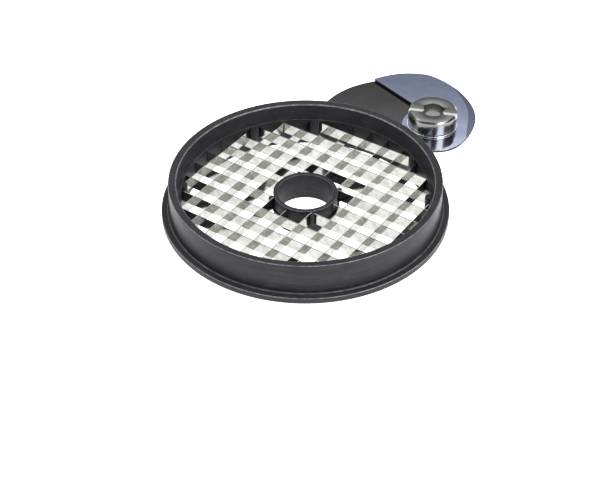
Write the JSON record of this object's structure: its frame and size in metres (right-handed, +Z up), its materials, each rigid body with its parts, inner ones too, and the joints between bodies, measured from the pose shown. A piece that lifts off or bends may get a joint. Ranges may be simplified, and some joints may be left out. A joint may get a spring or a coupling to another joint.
{
  "type": "vegetable dicer grid and slicing disc",
  "caption": "Food processor dicing kit: a black flanged ring crossed by steel strip blades round a centre collar, with a sickle-shaped slicing disc on a steel hub lying beside it.",
  "frame": {"origin": "middle of the footprint of the ring and the slicing disc together, on the surface they stand on", "axes": "+Z up along both axes of turn; +Y from the dicing grid's centre towards the slicing disc; the blades run along X and Y"},
  "size_m": [0.19, 0.2852, 0.0318],
  "materials": {
    "plastic": "satin moulded black plastic with fine turning lines",
    "blade_steel": "bright polished strip steel",
    "mirror_steel": "mirror polished sheet steel",
    "turned_steel": "bright turned steel",
    "screw_steel": "plain bright screws"
  },
  "bodies": {
    "grid": {"base_ring": "plastic", "upper_ring": "plastic", "ring_screw_1": "screw_steel", "ring_screw_2": "screw_steel", "ring_screw_3": "screw_steel", "ring_screw_4": "screw_steel", "ring_screw_5": "screw_steel", "ring_screw_6": "screw_steel", "ring_screw_7": "screw_steel", "ring_screw_8": "screw_steel", "collar_body": "plastic", "collar_cap": "plastic", "row_blade_1": "blade_steel", "row_blade_2": "blade_steel", "row_blade_3": "blade_steel", "row_blade_4": "blade_steel", "row_blade_5_left": "blade_steel", "row_blade_5_right": "blade_steel", "row_blade_6_left": "blade_steel", "row_blade_6_right": "blade_steel", "row_blade_7_left": "blade_steel", "row_blade_7_right": "blade_steel", "row_blade_8": "blade_steel", "row_blade_9": "blade_steel", "row_blade_10": "blade_steel", "row_blade_11": "blade_steel", "column_blade_1": "blade_steel", "column_blade_2": "blade_steel", "column_blade_3": "blade_steel", "column_blade_4": "blade_steel", "column_blade_5_front": "blade_steel", "column_blade_5_rear": "blade_steel", "column_blade_6_front": "blade_steel", "column_blade_6_rear": "blade_steel", "column_blade_7_front": "blade_steel", "column_blade_7_rear": "blade_steel", "column_blade_8": "blade_steel", "column_blade_9": "blade_steel", "column_blade_10": "blade_steel", "column_blade_11": "blade_steel"},
    "slicer": {"sickle_wing": "mirror_steel", "carrier_plate": "mirror_steel", "hub": "turned_steel", "hub_washer": "turned_steel"}
  },
  "joints": [
    {"name": "slicer_spin", "type": "hinge", "parent": "grid", "child": "slicer", "pos_m": [0.019, 0.08722, 0], "axis": [0, 0, 1], "range_deg": [-165, 10]}
  ]
}
